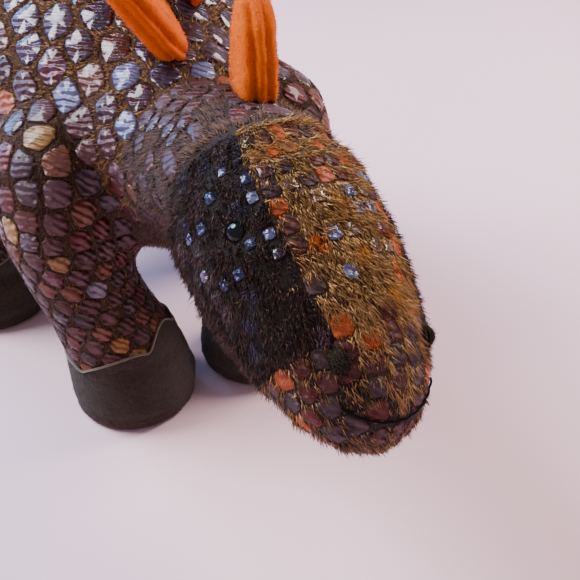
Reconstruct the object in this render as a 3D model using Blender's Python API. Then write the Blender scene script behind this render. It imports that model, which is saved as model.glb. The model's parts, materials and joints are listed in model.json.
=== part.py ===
"""A stuffed plated dinosaur, about 0.34 m long, standing on its four soles.

Metres, +Z up.  The animal faces -Y and its left side is +X.  The origin is the middle of the box's base.
Sizes below are in millimetres.  A station is a place along Y, counted from a point between the forefeet.
Each stuffed part is a fibre filling inside a sewn cover of separate panels.  The head, neck, tail and legs
are bodies of their own, and each turns on the seam where it is sewn on: round seats for the neck, head
and tail, and flat-sided pockets for the legs.
"""

import math

import bmesh
import bpy
from mathutils import Matrix, Vector

MM = 0.001

# Driving dimensions, in millimetres and degrees
STATION_Y = -64.9  # where station 0 lies on the part's Y axis
COVER = 1.2  # thickness of a sewn cover with its backing
FILL_INSET = 2.5  # how far the filling lies inside the outer surface
SEAM_GAP = 0.6  # between two panels
SEAT_GAP = 0.6  # between a round joint and its seat
REST_GAP = 0.3  # between a trim piece and the cover it is sewn to
ROUND = 20  # segments round the body
LEG_ROUND = 16

# Cross-sections: distance along the part, centre height, half width, height above and below the centre
TORSO = (
    (-9.0, 92.0, 27.4, 29.0, 29.0),
    (4.0, 92.5, 31.5, 35.0, 36.0),
    (24.0, 94.0, 43.5, 45.0, 43.0),
    (52.0, 97.0, 55.0, 54.0, 50.0),
    (84.0, 97.0, 55.0, 53.0, 50.0),
    (112.0, 94.0, 45.0, 42.0, 41.0),
    (128.0, 91.0, 35.0, 33.0, 33.0),
)
TORSO_RINGS = 10
BACK_EDGE = 22.0  # half angle of the panel along the back
BELLY_EDGE = 128.0  # angle from the top to the belly panel
NECK_PIVOT = (-6.0, 92.0)
NECK_SEAT = 25.0
NECK_COVERED = (0.26, 0.7)  # the part of the way from pivot to pivot that the neck's cover takes
HEAD_PIVOT = (-46.6, 104.5)
HEAD_SEAT = 22.4
HEAD_PITCH = 35.0
HEAD_TILT = 12.0  # the head leans a little towards the left side, as a soft toy's does
HEAD = (
    (5.0, -1.0, 25.4, 24.6, 24.2),
    (16.0, 0.0, 26.8, 26.2, 24.4),
    (30.0, 1.0, 26.2, 25.8, 23.8),
    (45.0, 2.5, 23.4, 23.2, 20.0),
    (58.0, 4.0, 20.0, 19.2, 15.8),
    (67.0, 5.0, 16.0, 14.2, 12.0),
    (72.5, 5.0, 11.4, 9.6, 8.6),
    (75.4, 5.0, 6.6, 5.4, 5.0),
    (76.6, 5.0, 2.8, 2.4, 2.4),
)
HEAD_PLACES = (5.0, 12.0, 20.0, 28.0, 37.0, 46.0, 54.0, 60.0, 65.0, 69.0, 72.5, 75.4, 76.6)
GUSSET_PLACES = 10  # how many of them the top panel and the chin panel reach
HEAD_GUSSET = ((0.0, 34.0), (37.0, 36.0), (56.0, 34.0), (65.0, 18.0), (69.0, 5.0), (71.0, 0.0))
CHIN_GUSSET = ((0.0, 34.0), (40.0, 38.0), (58.0, 40.0), (65.0, 26.0), (69.0, 6.0), (71.0, 0.0))
TAIL_PIVOT = (124.0, 92.0)
TAIL_SEAT = 31.0
TAIL = (
    (0.0, 0.0, 30.9, 30.9, 30.9),
    (12.0, -2.5, 28.0, 27.0, 27.0),
    (34.0, -11.0, 22.5, 21.5, 21.5),
    (60.0, -23.0, 17.0, 16.0, 16.0),
    (88.0, -35.0, 12.0, 11.0, 11.0),
    (108.0, -40.0, 8.5, 8.0, 8.0),
    (116.0, -41.0, 5.5, 5.0, 5.0),
    (118.5, -41.2, 2.6, 2.4, 2.4),
)
TAIL_PLACES = (6.0, 16.0, 30.0, 46.0, 64.0, 82.0, 98.0, 110.0, 116.0, 118.5)
TAIL_SEAM = 120.0  # angle from the top to the seam with the under panel

# Legs: height, centre out from the middle, station, half width, half length
FORE_LEG = (
    (24.0, 26.5, 6.5, 19.0, 19.6),
    (37.0, 31.0, 9.0, 17.3, 19.0),
    (50.0, 35.6, 12.0, 17.2, 20.0),
    (68.0, 37.8, 16.0, 19.4, 22.6),
    (86.0, 38.0, 19.0, 19.6, 24.0),
    (98.0, 36.0, 19.0, 17.6, 20.8),
    (106.0, 31.0, 19.0, 12.6, 13.3),
    (109.4, 26.5, 19.0, 6.0, 5.0),
)
FORE_FOOT = (
    (2.6, 24.5, 5.0, 20.6, 20.6),
    (8.0, 24.5, 5.0, 21.0, 21.0),
    (16.0, 25.2, 5.4, 20.2, 20.6),
    (23.5, 26.3, 6.2, 19.2, 19.9),
)
HIND_LEG = (
    (24.0, 56.0, 87.0, 21.0, 21.5),
    (38.0, 52.5, 88.0, 22.5, 23.5),
    (55.0, 49.5, 90.0, 23.8, 27.5),
    (78.0, 47.5, 92.0, 22.0, 30.0),
    (94.0, 44.0, 92.0, 18.6, 25.4),
    (104.0, 39.0, 92.0, 13.6, 15.0),
    (107.4, 33.5, 92.0, 7.0, 5.5),
)
HIND_FOOT = (
    (2.6, 57.0, 86.0, 22.0, 22.0),
    (8.0, 57.0, 86.0, 22.6, 22.6),
    (16.0, 56.6, 86.4, 22.0, 22.3),
    (23.5, 56.1, 86.9, 21.2, 21.8),
)
SOLE_THICK = 2.3
# Each pair of legs: hip station and height, swing each way in degrees, and the inner plane
FORE = {"hip": (19.0, 86.0), "swing": 12.0, "inner": 18.4, "leg": FORE_LEG, "foot": FORE_FOOT}
HIND = {"hip": (92.0, 78.0), "swing": 10.0, "inner": 25.4, "leg": HIND_LEG, "foot": HIND_FOOT}
POCKET_OPEN = 66.0  # how far below level a pocket's two ends open, in degrees

# Plates: part that carries it, place along that part, angle from the back's top, lean, turn of its front,
# length and height; the rows take turns, and angles to the left are positive
PLATES = (
    ("neck", 0.46, 20.0, 2.0, -16.0, 24.0, 27.0),
    ("torso", 7.0, -5.0, -36.0, -14.0, 33.0, 40.0),
    ("torso", 26.0, 17.0, 14.0, -6.0, 37.0, 45.0),
    ("torso", 47.0, -15.0, -22.0, -3.0, 38.0, 49.0),
    ("torso", 67.0, 15.0, 20.0, 3.0, 39.0, 50.0),
    ("torso", 87.0, -15.0, -20.0, 0.0, 37.0, 46.0),
    ("torso", 106.0, 17.0, 18.0, -3.0, 32.0, 39.0),
    ("tail", 22.0, -20.0, -18.0, 0.0, 27.0, 32.0),
    ("tail", 38.0, 22.0, 18.0, 0.0, 24.0, 27.0),
    ("tail", 56.0, -22.0, -18.0, 0.0, 20.0, 21.0),
)
PLATE_THICK = 9.5
PLATE_ROOT = 7.0  # how far a plate's foot is drawn down before the back trims it
EYE_PLACE = (20.5, 57.0)  # place along the head, and degrees from its top
EYE_RADIUS = 2.9
EYE_SHANK = 1.2
EYE_WASHER = (4.5, 1.0)  # radius and thickness
NOSTRIL_PLACE = (57.0, 40.0)
NOSTRIL_SIZE = (3.0, 2.3, 1.9)
SPIKE_PLACES = (84.0, 101.0)
SPIKE_ANGLE = 62.0
SPIKE = (30.0, 5.0)  # length and radius at its foot

STUFFS = {
    "foil_fur": ((0.16, 0.06, 0.04), 0.55),
    "olive_fur": ((0.19, 0.10, 0.03), 0.8),
    "brown_fur": ((0.06, 0.03, 0.025), 0.8),
    "suede": ((0.045, 0.035, 0.022), 0.9),
    "orange_plush": ((0.80, 0.17, 0.01), 0.85),
    "fibre": ((0.75, 0.75, 0.72), 0.95),
    "black_plastic": ((0.004, 0.006, 0.006), 0.1),
    "white_plastic": ((0.6, 0.6, 0.58), 0.4),
    "thread": ((0.02, 0.018, 0.01), 0.7),
}


# Objects and materials


def stuff(name):
    """A plain Principled material, made once for each kind of stuff."""
    found = bpy.data.materials.get(name)
    if found:
        return found
    colour, roughness = STUFFS[name]
    made = bpy.data.materials.new(name)
    made.use_nodes = True
    shader = made.node_tree.nodes["Principled BSDF"]
    shader.inputs["Base Color"].default_value = (*colour, 1.0)
    shader.inputs["Roughness"].default_value = roughness
    made.diffuse_color = (*colour, 1.0)
    return made


def add_object(name, bm, material, crease=40):
    """A bmesh, already in metres in the part's frame, made into a named object."""
    mesh = bpy.data.meshes.new(name)
    bm.to_mesh(mesh)
    bm.free()
    mesh.materials.append(stuff(material))
    mesh.shade_smooth()
    mesh.set_sharp_from_angle(angle=math.radians(crease))
    made = bpy.data.objects.new(name, mesh)
    bpy.context.scene.collection.objects.link(made)
    return made


def as_cutter(made):
    made.hide_render = True
    made.display_type = "WIRE"
    return made


def cut(made, cutter):
    modifier = made.modifiers.new("Cut", "BOOLEAN")
    modifier.operation = "DIFFERENCE"
    modifier.object = cutter
    return made


def thicken(made):
    """A cover's thickness, taken inward from its outer surface."""
    modifier = made.modifiers.new("Cover", "SOLIDIFY")
    modifier.thickness = COVER * MM
    modifier.offset = -1.0
    return made


def shrink(made, amount=FILL_INSET):
    """A filling drawn in from the cover's outer surface."""
    modifier = made.modifiers.new("Inset", "DISPLACE")
    modifier.mid_level = 0.0
    modifier.strength = -amount * MM
    return made


# Places


def station(y, z, x=0.0):
    """A point given by station, height and distance to the left, in the part's frame."""
    return Vector((x, y + STATION_Y, z)) * MM


def frame_along(start, pitch=0.0, rearward=False):
    """Sections in this frame run along its Y, forward and down by the pitch, or rearward."""
    sense = 1 if rearward else -1
    forward = Vector((0, sense * math.cos(pitch), -math.sin(pitch)))
    up = Vector((0, sense * math.sin(pitch), math.cos(pitch)))
    return Matrix.Translation(start) @ Matrix(((1, 0, 0), forward, up)).transposed().to_4x4()


TORSO_FRAME = frame_along(station(0, 0), rearward=True)
HEAD_FRAME = frame_along(station(*HEAD_PIVOT), math.radians(HEAD_PITCH)) @ Matrix.Rotation(
    math.radians(HEAD_TILT), 4, "Y"
)
TAIL_FRAME = frame_along(station(*TAIL_PIVOT), rearward=True)


def between(table, along):
    """A table's row at any place along it, on a smooth curve through its rows."""
    rows = [Vector(row) for row in table]
    index = max((i for i in range(len(rows) - 1) if rows[i][0] <= along), default=0)
    low, high = rows[index], rows[index + 1]
    before = rows[max(index - 1, 0)]
    after = rows[min(index + 2, len(rows) - 1)]
    step = high[0] - low[0]
    share = (along - low[0]) / step
    leaving = (high - before) * (step / (high[0] - before[0]))
    arriving = (after - low) * (step / (after[0] - low[0]))
    square, cube = share**2, share**3
    return (
        low * (2 * cube - 3 * square + 1)
        + leaving * (cube - 2 * square + share)
        + high * (3 * square - 2 * cube)
        + arriving * (cube - square)
    )


def section_point(frame, table, along, angle, out=0.0):
    """A point on a part's outer surface; the angle goes from its top towards the animal's left."""
    _, centre, half_width, above, below = between(table, along)
    half_height = above if math.cos(angle) > 0 else below
    local = ((half_width + out) * math.sin(angle), along, centre + (half_height + out) * math.cos(angle))
    return frame @ (Vector(local) * MM)


def torso_point(along, angle, out=0.0):
    return section_point(TORSO_FRAME, TORSO, along, angle, out)


def head_point(along, angle, out=0.0):
    return section_point(HEAD_FRAME, HEAD, along, angle, out)


def tail_point(along, angle, out=0.0):
    return section_point(TAIL_FRAME, TAIL, along, angle, out)


def neck_point(share, angle, out=0.0):
    """The neck tapers from the torso's seat to the head's, and its sections tip over with the head."""
    radius = (NECK_SEAT + (HEAD_SEAT - NECK_SEAT) * min(max(share, 0.0), 1.0)) + out
    pitch = math.radians(HEAD_PITCH) * share
    centre = station(*NECK_PIVOT).lerp(station(*HEAD_PIVOT), share)
    up = Vector((0, -math.sin(pitch), math.cos(pitch)))
    return centre + (Vector((1, 0, 0)) * math.sin(angle) + up * math.cos(angle)) * (radius * MM)


def stops(first, last, count):
    return [first + (last - first) * i / (count - 1) for i in range(count)]


def reading(pairs, along):
    """A short table of pairs, read in straight lines."""
    for (near, low), (far, high) in zip(pairs, pairs[1:]):
        if along <= far:
            return low + (high - low) * max(along - near, 0.0) / (far - near)
    return pairs[-1][1]


# Solids


def skin(bm, rings, closed=True):
    """Quads between rings of the same count."""
    rows = [[bm.verts.new(point) for point in ring] for ring in rings]
    count = len(rows[0])
    for low, high in zip(rows, rows[1:]):
        for i in range(count if closed else count - 1):
            j = (i + 1) % count
            bm.faces.new((low[i], low[j], high[j], high[i]))
    return rows


def cap(bm, row):
    """A ring's end closed by a fan round its middle."""
    middle = bm.verts.new(sum((vert.co for vert in row), Vector()) / len(row))
    for i, vert in enumerate(row):
        bm.faces.new((vert, row[(i + 1) % len(row)], middle))


def solid_over(name, rings, material):
    """A closed solid over rings, its faces out."""
    bm = bmesh.new()
    rows = skin(bm, rings)
    cap(bm, rows[0])
    cap(bm, rows[-1])
    bmesh.ops.recalc_face_normals(bm, faces=bm.faces)
    return add_object(name, bm, material)


def sheet_over(name, rings, middles, material, closed=False):
    """An open sheet over rings, each ring with the middle that its faces look away from, made thick."""
    bm = bmesh.new()
    skin(bm, rings, closed)
    bmesh.ops.recalc_face_normals(bm, faces=bm.faces)
    face = bm.faces[:][0]
    bm.normal_update()
    if face.normal.dot(face.calc_center_median() - middles[0]) < 0:
        bmesh.ops.reverse_faces(bm, faces=bm.faces)
    return thicken(add_object(name, bm, material))


def turns(count):
    return [math.tau * i / count for i in range(count)]


def solid_part(name, point, places, material="fibre", count=ROUND, out=0.0):
    """A closed solid over a part's sections."""
    return solid_over(name, [[point(place, turn, out) for turn in turns(count)] for place in places], material)


def panel(name, point, places, edges, material, steps):
    """One sewn panel: the outer surface between two edge angles, in degrees, which may change on the way."""
    rings, middles = [], []
    for place in places:
        start, end = (math.radians(angle) for angle in edges(place))
        middle = (point(place, 0.0) + point(place, math.pi)) / 2
        margin = SEAM_GAP * MM / 2 / (point(place, start) - middle).length
        rings.append([point(place, angle) for angle in stops(start + margin, end - margin, steps)])
        middles.append(middle)
    return sheet_over(name, rings, middles, material)


def ball(name, centre, radius):
    """A seat's cutter, its poles to the sides."""
    bm = bmesh.new()
    stand = Matrix.Translation(centre) @ Matrix.Rotation(math.pi / 2, 4, "Y")
    bmesh.ops.create_uvsphere(bm, u_segments=24, v_segments=14, radius=radius * MM, matrix=stand)
    return as_cutter(add_object(name, bm, "fibre"))


def round_bar(name, stand, profile, material, count=14):
    """A turned piece on `stand`'s Z axis; the profile gives heights and radii, in millimetres."""
    rings = [
        [stand @ (Vector((radius * math.cos(turn), radius * math.sin(turn), height)) * MM) for turn in turns(count)]
        for height, radius in profile
    ]
    return solid_over(name, rings, material)


def seat_on(point, place, angle):
    """A frame on a part's surface: Z outward, Y along the part, X round it."""
    small = 0.01
    here = point(place, angle)
    along = (point(place + small, angle) - here).normalized()
    across = (point(place, angle + small) - here).normalized()
    out = along.cross(across)
    if out.dot(here - (point(place, 0.0) + point(place, math.pi)) / 2) < 0:
        out.negate()
    across = along.cross(out)
    return Matrix.Translation(here) @ Matrix((across, along, out)).transposed().to_4x4()


# Torso


def leg_pocket(name, side, legs):
    """The room a leg swings in, beside the body: its outline from the side, swept round its hip."""
    hip_y, hip_z = legs["hip"]
    table = legs["leg"]
    edge = []
    for height in stops(table[0][0], table[-1][0], 80):
        _, _, along, _, half_length = between(table, height)
        for y in (along - half_length - hip_y, along + half_length - hip_y):
            turn = math.atan2(height - hip_z, -y)
            edge.append((turn if turn > -math.pi / 2 else turn + math.tau, math.hypot(y, height - hip_z)))
    swing = math.radians(legs["swing"] + 1.0)
    open_by = math.radians(POCKET_OPEN)
    points = []
    for turn in stops(-open_by, math.pi + open_by, 27):
        radius = max(r for a, r in edge if abs(a - turn) <= swing) + SEAT_GAP
        points.append((hip_y - radius * math.cos(turn), hip_z + radius * math.sin(turn)))
    walls = (legs["inner"] - SEAM_GAP, 100.0)
    return as_cutter(solid_over(name, [[station(*point, side * x) for point in points] for x in walls], "fibre"))


def make_torso(pockets):
    places = stops(TORSO[0][0], TORSO[-1][0], TORSO_RINGS)
    back = (BACK_EDGE, BELLY_EDGE, 360 - BELLY_EDGE)
    panel("back_gusset", torso_point, places, lambda _: (-back[0], back[0]), "foil_fur", 4)
    right = panel("right_flank_panel", torso_point, places, lambda _: (-back[1], -back[0]), "foil_fur", 9)
    left = panel("left_flank_panel", torso_point, places, lambda _: (back[0], back[1]), "foil_fur", 9)
    belly = panel("belly_panel", torso_point, places, lambda _: (back[1], back[2]), "brown_fur", 7)
    filling = shrink(solid_part("torso_filling", torso_point, places))
    for piece in (right, left, belly, filling):
        for pocket in pockets:
            cut(piece, pocket)
    cut(filling, ball("neck_seat", station(*NECK_PIVOT), NECK_SEAT + SEAT_GAP))
    cut(filling, ball("tail_seat", station(*TAIL_PIVOT), TAIL_SEAT + SEAT_GAP))


# Neck


def make_neck():
    places = stops(*NECK_COVERED, 4)
    panel("neck_upper_panel", neck_point, places, lambda _: (-100, 100), "foil_fur", 13)
    panel("neck_throat_panel", neck_point, places, lambda _: (101, 259), "brown_fur", 11)
    rings = []
    for place in stops(-0.5, 1.44, 18):
        rings.append([neck_fill_point(place, turn) for turn in turns(ROUND)])
    solid_over("neck_filling", rings, "fibre")


def neck_fill_point(share, angle):
    """The filling runs through the neck and ends in a ball in each seat."""
    first, last = station(*NECK_PIVOT), station(*HEAD_PIVOT)
    length = (last - first).length / MM
    beyond = (min(share, 0.0) if share < 0.5 else max(share - 1.0, 0.0)) * length
    full = NECK_SEAT if share < 0.5 else HEAD_SEAT
    ball_radius = math.sqrt(max((full - FILL_INSET) ** 2 - beyond**2, 4.0))
    pitch = math.radians(HEAD_PITCH) * min(max(share, 0.0), 1.0)
    radius = ball_radius if beyond else (NECK_SEAT + (HEAD_SEAT - NECK_SEAT) * share) - FILL_INSET
    centre = first.lerp(last, min(max(share, 0.0), 1.0))
    forward = Vector((0, -math.cos(pitch), -math.sin(pitch)))
    up = Vector((0, -math.sin(pitch), math.cos(pitch)))
    ring = (Vector((1, 0, 0)) * math.sin(angle) + up * math.cos(angle)) * (radius * MM)
    return centre + forward * (beyond * MM) + ring


# Head


def make_head():
    low = HEAD_PLACES[:GUSSET_PLACES]
    top_edge = lambda place: reading(HEAD_GUSSET, place)
    chin_edge = lambda place: 180 - reading(CHIN_GUSSET, place)
    panel("head_top_gusset", head_point, low, lambda p: (-top_edge(p), top_edge(p)), "olive_fur", 6)
    panel("chin_panel", head_point, low, lambda p: (chin_edge(p), 360 - chin_edge(p)), "brown_fur", 6)
    filling = shrink(solid_part("head_filling", head_point, HEAD_PLACES, count=22))
    cut(filling, ball("head_seat", station(*HEAD_PIVOT), HEAD_SEAT + SEAT_GAP))
    for side in (-1, 1):
        label = "left" if side > 0 else "right"
        edges = (lambda p: (top_edge(p), chin_edge(p))) if side > 0 else (lambda p: (-chin_edge(p), -top_edge(p)))
        face = panel(f"{label}_face_panel", head_point, HEAD_PLACES, edges, "foil_fur", 8)
        make_eye(label, side, face, filling)
        make_nostril(label, side)


def make_eye(label, side, face, filling):
    """A domed plastic eye whose shank goes through the cover into a washer inside."""
    stand = seat_on(head_point, EYE_PLACE[0], side * math.radians(EYE_PLACE[1]))
    dome = [(EYE_RADIUS * 0.75 * math.sin(turn), EYE_RADIUS * math.cos(turn)) for turn in stops(0.0, 1.45, 5)]
    shank_end = -COVER - EYE_WASHER[1] - 3.0
    profile = [(shank_end, EYE_SHANK), (REST_GAP, EYE_SHANK)]
    profile += [(REST_GAP + height, radius) for height, radius in dome]
    round_bar(f"{label}_eye", stand, profile, "black_plastic")
    hole = [(-12.0, EYE_SHANK + REST_GAP), (6.0, EYE_SHANK + REST_GAP)]
    cut(face, as_cutter(round_bar(f"{label}_eye_hole", stand, hole, "fibre")))
    top = -COVER - 0.6
    radius, thick = EYE_WASHER
    bm = bmesh.new()
    outline = ((EYE_SHANK + REST_GAP, top), (radius, top), (radius, top - thick), (EYE_SHANK + REST_GAP, top - thick))
    rows = [
        [bm.verts.new(stand @ (Vector((r * math.cos(turn), r * math.sin(turn), h)) * MM)) for turn in turns(14)]
        for r, h in outline
    ]
    for row, after in zip(rows, rows[1:] + rows[:1]):
        for i in range(len(row)):
            j = (i + 1) % len(row)
            bm.faces.new((row[i], row[j], after[j], after[i]))
    bmesh.ops.recalc_face_normals(bm, faces=bm.faces)
    add_object(f"{label}_eye_washer", bm, "white_plastic")
    room = [(shank_end - 1.0, radius + 0.5), (6.0, radius + 0.5)]
    cut(filling, as_cutter(round_bar(f"{label}_washer_room", stand, room, "fibre")))


def make_nostril(label, side):
    """An embroidered knot of thread, which lies on the cover."""
    stand = seat_on(head_point, NOSTRIL_PLACE[0], side * math.radians(NOSTRIL_PLACE[1]))
    along, across, high = NOSTRIL_SIZE
    bm = bmesh.new()
    bmesh.ops.create_icosphere(bm, subdivisions=2, radius=1.0)
    bmesh.ops.scale(bm, vec=Vector((across, along, high)) * MM, verts=bm.verts)
    bmesh.ops.transform(bm, matrix=stand @ Matrix.Translation((0, 0, 0.6 * MM)), verts=bm.verts)
    knot = add_object(f"{label}_nostril_knot", bm, "thread")
    trim = as_cutter(solid_part(f"{label}_nostril_bed", head_point, HEAD_PLACES, count=44, out=REST_GAP))
    cut(knot, trim)


# Tail


def make_tail():
    upper, under = (TAIL_SEAM, 360 - TAIL_SEAM)
    panel("tail_right_panel", tail_point, TAIL_PLACES, lambda _: (-upper, 0), "foil_fur", 7)
    panel("tail_left_panel", tail_point, TAIL_PLACES, lambda _: (0, upper), "foil_fur", 7)
    panel("tail_under_panel", tail_point, TAIL_PLACES, lambda _: (upper, under), "brown_fur", 6)
    rear_ball = [
        [
            TAIL_FRAME @ (Vector((r * math.sin(turn), -y, r * math.cos(turn))) * MM)
            for turn in turns(18)
        ]
        for y, r in (
            (TAIL_SEAT * math.cos(a), TAIL_SEAT * math.sin(a)) for a in (0.15, 0.45, 0.8, 1.15)
        )
    ]
    rings = rear_ball + [[tail_point(place, turn) for turn in turns(18)] for place in (0.0, *TAIL_PLACES)]
    shrink(solid_over("tail_filling", rings, "fibre"))
    trim = as_cutter(solid_part("spike_bed", tail_point, TAIL_PLACES, count=36, out=REST_GAP))
    length, radius = SPIKE
    for number, place in enumerate(SPIKE_PLACES, 1):
        for side in (-1, 1):
            stand = seat_on(tail_point, place, side * math.radians(SPIKE_ANGLE))
            stand = stand @ Matrix.Rotation(math.radians(-24), 4, "X")
            profile = [(-5.0, radius), (0.0, radius), (length * 0.35, radius * 0.86)]
            profile += [(length * 0.7, radius * 0.5), (length * 0.94, radius * 0.2), (length, radius * 0.06)]
            label = "left" if side > 0 else "right"
            cut(round_bar(f"{label}_tail_spike_{number}", stand, profile, "orange_plush", 12), trim)


# Legs


def leg_ring(row, side, inner, count=LEG_ROUND):
    """A leg's level outline, kept outside the plane in which it is sewn to the body."""
    height, out, along, half_x, half_y = row
    return [
        station(along + half_y * math.sin(turn), height, side * max(out + half_x * math.cos(turn), inner))
        for turn in turns(count)
    ]


def make_leg(name, side, legs):
    leg, foot, inner = legs["leg"], legs["foot"], legs["inner"]
    rings = [leg_ring(row, side, inner if row[0] > 45 else 0.0) for row in leg]
    bm = bmesh.new()
    cap(bm, skin(bm, rings)[-1])
    bmesh.ops.recalc_face_normals(bm, faces=bm.faces)
    bm.normal_update()
    bm.faces.ensure_lookup_table()
    first = bm.faces[0]
    if first.normal.dot(first.calc_center_median() - station(leg[0][2], leg[0][0], side * leg[0][1])) < 0:
        bmesh.ops.reverse_faces(bm, faces=bm.faces)
    thicken(add_object(f"{name}_leg_cover", bm, "foil_fur"))
    shrink(solid_over(f"{name}_leg_filling", rings, "fibre"))
    rings = [leg_ring(row, side, 0.0) for row in foot]
    middles = [station(row[2], row[0], side * row[1]) for row in foot]
    sheet_over(f"{name}_foot_cover", rings, middles, "suede", closed=True)
    shrink(solid_over(f"{name}_foot_filling", rings, "fibre"))
    sole = [leg_ring((height, *foot[0][1:]), side, 0.0) for height in (0.0, SOLE_THICK)]
    solid_over(f"{name}_sole", sole, "suede")


# Plates


def leaf_outline(length, height, count=12):
    """A plate from the side: a leaf with a blunt point, from its front foot over to its rear foot."""
    points = []
    for turn in stops(0.0, math.pi, count + 1):
        bulge = 1 - 0.14 * math.sin(turn) + 0.06 * math.sin(2 * turn) ** 2
        points.append((-length / 2 * math.cos(turn) * bulge, height * math.sin(turn) ** 0.8))
    foot = length * 0.4
    return points + [(foot, -PLATE_ROOT), (-foot, -PLATE_ROOT)]


def make_plate(name, point, place, angle, lean, turn, length, height, bed):
    """A stuffed leaf: two bulging faces and a rim between them, standing in its row on the back."""
    stand = Matrix.Translation(point(place, math.radians(angle)))
    stand @= Matrix.Rotation(math.radians(lean), 4, "Y")
    stand @= Matrix.Rotation(math.radians(turn), 4, "Z")
    outline = leaf_outline(length, height)
    middle = height * 0.36
    layers = ((0.45, 0.5), (0.86, 0.42), (1.0, 0.17))
    rings = []
    for share, half in layers + tuple((share, -half) for share, half in reversed(layers)):
        rings.append([
            stand @ (Vector((half * PLATE_THICK, y * share, middle + (z - middle) * share)) * MM)
            for y, z in outline
        ])
    cut(solid_over(name, rings, "orange_plush"), bed)


def make_plates():
    torso_places = stops(TORSO[0][0], TORSO[-1][0], TORSO_RINGS * 2 - 1)
    parts = {
        "neck": (neck_point, stops(-0.2, 1.0, 7)),
        "torso": (torso_point, torso_places),
        "tail": (tail_point, TAIL_PLACES),
    }
    beds = {
        part: as_cutter(solid_part(f"{part}_plate_bed", point, places, count=40, out=REST_GAP))
        for part, (point, places) in parts.items()
    }
    for number, (part, place, angle, *shape) in enumerate(PLATES, 1):
        name = f"{part}_plate_{number:02d}_{'left' if angle > 0 else 'right'}"
        make_plate(name, parts[part][0], place, angle, *shape, beds[part])


# The whole animal

for old in list(bpy.data.objects):
    bpy.data.objects.remove(old)

make_torso([
    leg_pocket(f"{where}_pocket_{side}", side, legs)
    for where, legs in (("fore", FORE), ("hind", HIND))
    for side in (-1, 1)
])
make_neck()
make_head()
make_tail()
for hand, side in (("right", -1), ("left", 1)):
    make_leg(f"{hand}_fore", side, FORE)
    make_leg(f"{hand}_hind", side, HIND)
make_plates()
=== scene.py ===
"""The looks of a stuffed plated dinosaur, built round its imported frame.

One stuffed skin is grown over the fillings and cut where the bodies part.  Foil scales, pile and stitches are
laid on it as real geometry, and the feet, plates, spikes, eyes and nostril knots are made one by one.
"""

import json
import math

import bmesh
import bpy
import numpy as np
from mathutils import Matrix, Vector
from mathutils.bvhtree import BVHTree
from mathutils.kdtree import KDTree


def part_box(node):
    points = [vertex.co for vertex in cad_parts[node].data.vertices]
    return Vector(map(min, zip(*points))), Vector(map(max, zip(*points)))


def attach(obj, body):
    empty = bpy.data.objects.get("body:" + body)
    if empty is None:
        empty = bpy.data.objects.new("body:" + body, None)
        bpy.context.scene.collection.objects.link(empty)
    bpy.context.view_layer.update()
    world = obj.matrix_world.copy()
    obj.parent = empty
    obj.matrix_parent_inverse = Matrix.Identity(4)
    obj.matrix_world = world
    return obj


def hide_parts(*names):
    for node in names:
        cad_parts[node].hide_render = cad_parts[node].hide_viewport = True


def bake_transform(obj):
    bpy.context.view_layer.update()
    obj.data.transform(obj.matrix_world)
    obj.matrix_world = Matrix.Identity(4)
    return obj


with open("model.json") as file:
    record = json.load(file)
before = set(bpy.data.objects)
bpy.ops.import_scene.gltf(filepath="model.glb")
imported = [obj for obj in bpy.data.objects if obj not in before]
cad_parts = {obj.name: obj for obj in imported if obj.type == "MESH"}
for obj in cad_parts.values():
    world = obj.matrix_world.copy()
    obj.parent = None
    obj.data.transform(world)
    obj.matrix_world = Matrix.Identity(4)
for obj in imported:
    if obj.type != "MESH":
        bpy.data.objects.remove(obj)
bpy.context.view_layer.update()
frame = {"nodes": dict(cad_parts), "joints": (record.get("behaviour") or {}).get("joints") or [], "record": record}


# ---- The stuffed skin -------------------------------------------------------------------------------------
# Polyester fibre fills a sewn cover, so neck, legs and tail run into the body in soft hollows.  The skin is
# the fillings' outline grown out to the cover's face, closed over the gaps between the parts, and smoothed.

MM = 0.001
COVER_OUT = 2.5 * MM  # from a filling's face to the cover's
HOLLOW = 3.0 * MM  # radius of the hollows between the parts
GRID = 1.7 * MM
FLOOR_SETTLE = 9.0 * MM  # the height under which a foot is drawn down to the floor
FOOT_GAP = 2.6 * MM  # how far a foot's filling, grown, stays off the floor

nodes = frame["nodes"]
pivots = {joint["name"]: Vector(joint["pos_m"]) for joint in frame["joints"]}


def add_piece(name, mesh, *materials):
    piece = bpy.data.objects.new(name, mesh)
    bpy.context.scene.collection.objects.link(piece)
    for material in materials:
        mesh.materials.append(material)
    return piece


def mesh_of(bm, name):
    """A bmesh made into a smooth-shaded mesh."""
    mesh = bpy.data.meshes.new(name)
    bm.to_mesh(mesh)
    bm.free()
    mesh.shade_smooth()
    return mesh


def read_out(items, name, width, kind=float):
    """One value of every item of a mesh, as rows."""
    values = np.zeros(len(items) * width, kind)
    items.foreach_get(name, values)
    return values.reshape(-1, width)


def cad_copy(names):
    """CAD nodes copied into one bmesh, their loose triangles joined."""
    bm = bmesh.new()
    for name in names:
        bm.from_mesh(nodes[name].data)
    bmesh.ops.remove_doubles(bm, verts=bm.verts, dist=0.01 * MM)
    return bm


def settled(piece):
    """The piece's mesh with its modifiers worked in; the piece itself goes."""
    graph = bpy.context.evaluated_depsgraph_get()
    mesh = bpy.data.meshes.new_from_object(piece.evaluated_get(graph))
    bpy.data.objects.remove(piece)
    return mesh


def regrown(bm, name, grid, *growths, smooth=6):
    """A closed form swelled or shrunk by each growth in turn, on a fresh voxel grid each time."""
    piece = add_piece(name, mesh_of(bm, name))
    for growth in (*growths, 0.0):
        remesh = piece.modifiers.new("Grid", "REMESH")
        remesh.mode = "VOXEL"
        remesh.voxel_size = grid
        if growth:
            swell = piece.modifiers.new("Swell", "DISPLACE")
            swell.mid_level = 0.0
            swell.strength = growth
    settle = piece.modifiers.new("Settle", "SMOOTH")
    settle.factor = 0.5
    settle.iterations = smooth
    return settled(piece)


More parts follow.
